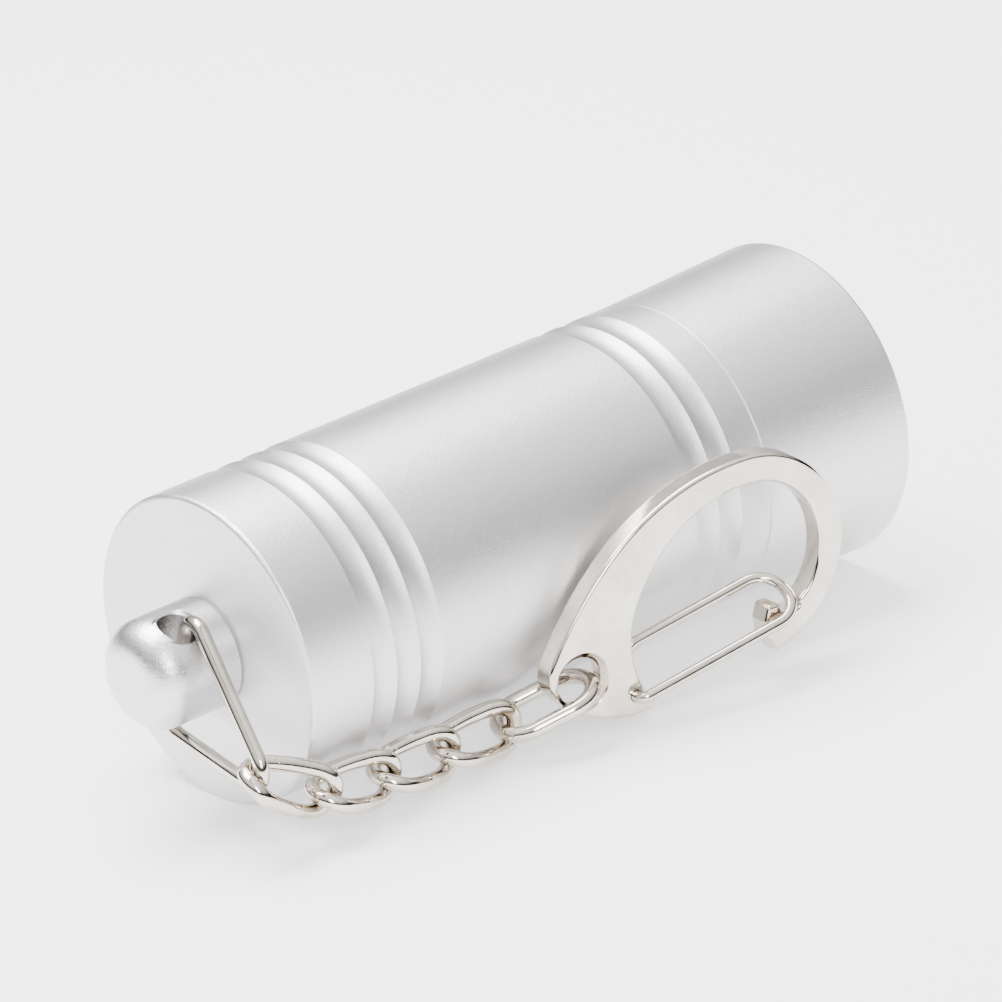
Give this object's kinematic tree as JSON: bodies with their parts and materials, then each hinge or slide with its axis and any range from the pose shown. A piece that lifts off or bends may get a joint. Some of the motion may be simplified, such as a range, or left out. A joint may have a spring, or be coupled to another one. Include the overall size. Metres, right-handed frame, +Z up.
{
  "type": "keychain flashlight",
  "caption": "Cylindrical metal pocket flashlight with a twist-off head, ribbed barrel and tail knob, on a curb chain with a wire-gate snap hook.",
  "frame": {"origin": "centre of the front rim, on the light's own axis", "axes": "+X along the beam, +Z up as the light lies on its side, the chain and hook on the -Y side"},
  "size_m": [0.0941, 0.0429, 0.0354],
  "materials": {
    "barrel_metal": "bead-blasted satin",
    "knob_metal": "turned satin",
    "nickel_wire": "bright nickel plate",
    "nickel_cast": "bright nickel plate on a casting",
    "seal_rubber": "matte black",
    "spring_steel": "bright",
    "carrier_plastic": "moulded black",
    "contact_metal": "nickel plated",
    "contact_brass": "bare brass",
    "cell_wrap": "printed sleeve without lettering",
    "clear_lens": "clear",
    "mirror_dish": "vapour-coated",
    "led_yellow": "phosphor under a clear dome",
    "board_white": "white solder mask",
    "gasket_white": "moulded",
    "pill_metal": "turned",
    "board_green": "green solder mask",
    "component_black": "moulded black",
    "wire_red": "insulated wire"
  },
  "bodies": {
    "barrel": {"body_tube": "barrel_metal", "body_o_ring": "seal_rubber", "tail_knob": "knob_metal", "tail_spring": "spring_steel"},
    "pack": {"carrier_frame": "carrier_plastic", "carrier_rear_plate": "contact_metal", "carrier_front_plates": "contact_metal", "carrier_front_button": "contact_brass", "cell_springs": "spring_steel", "battery_cell_1": "cell_wrap", "battery_cell_2": "cell_wrap", "battery_cell_3": "cell_wrap"},
    "head": {"head_shell": "barrel_metal", "lens": "clear_lens", "lens_o_ring": "seal_rubber", "reflector": "mirror_dish", "led_emitter": "led_yellow", "led_board": "board_white", "led_gasket": "gasket_white", "led_holder": "pill_metal", "led_wires": "wire_red", "driver_board": "board_green", "driver_parts": "component_black", "driver_pad": "contact_brass"},
    "loop": {"key_loop": "nickel_wire"},
    "link_1": {"chain_link_1": "nickel_wire"},
    "link_2": {"chain_link_2": "nickel_wire"},
    "link_3": {"chain_link_3": "nickel_wire"},
    "link_4": {"chain_link_4": "nickel_wire"},
    "link_5": {"chain_link_5": "nickel_wire"},
    "hook": {"snap_hook": "nickel_cast"},
    "gate": {"hook_gate": "nickel_wire"}
  },
  "joints": [
    {"name": "pack_slide", "type": "slide", "parent": "barrel", "child": "pack", "axis": [1, 0, 0], "range_m": [0, 0.00301], "deforming": ["tail_spring"]},
    {"name": "head_twist", "type": "hinge", "parent": "pack", "child": "head", "pos_m": [0, 0, 0], "axis": [1, 0, 0], "range_deg": [0, 1080]},
    {"name": "loop_swing", "type": "hinge", "parent": "barrel", "child": "loop", "pos_m": [-0.08745, 0.00025, -0.00055], "axis": [0, -0.4147, 0.91], "range_deg": [-28, 0]},
    {"name": "link_1_swing", "type": "hinge", "parent": "loop", "child": "link_1", "pos_m": [-0.09071, -0.01438, -0.00733], "axis": [0.7998, -0.2289, 0.5549], "range_deg": [-25, 0]},
    {"name": "link_2_dip", "type": "hinge", "parent": "link_1", "child": "link_2", "pos_m": [-0.08464, -0.01719, -0.0113], "axis": [-0.0223, 0.9783, 0.2059], "range_deg": [0, 25]},
    {"name": "link_3_swing", "type": "hinge", "parent": "link_2", "child": "link_3", "pos_m": [-0.07406, -0.01663, -0.01279], "axis": [0.1131, -0.1671, 0.9794], "range_deg": [-25, 0]},
    {"name": "link_4_dip", "type": "hinge", "parent": "link_3", "child": "link_4", "pos_m": [-0.06739, -0.01611, -0.01323], "axis": [-0.0311, 0.994, 0.1045], "range_deg": [0, 25]},
    {"name": "link_5_swing", "type": "hinge", "parent": "link_4", "child": "link_5", "pos_m": [-0.05625, -0.01588, -0.01302], "axis": [-0.222, -0.612, 0.759], "range_deg": [-25, 0]},
    {"name": "hook_swing", "type": "hinge", "parent": "link_5", "child": "hook", "pos_m": [-0.04927, -0.01953, -0.01074], "axis": [0.1392, 0.9903, 0], "range_deg": [0, 25]},
    {"name": "gate_open", "type": "hinge", "parent": "hook", "child": "gate", "pos_m": [-0.04394, -0.0195, -0.01383], "axis": [-0.1392, -0.9903, 0], "range_deg": [0, 28], "stiffness_Nm_per_rad": 0.03, "springref_deg": -11.46}
  ],
  "couplings": [
    {"joint": "pack_slide", "follows": "head_twist", "m_per_rad": 0.00015915}
  ]
}
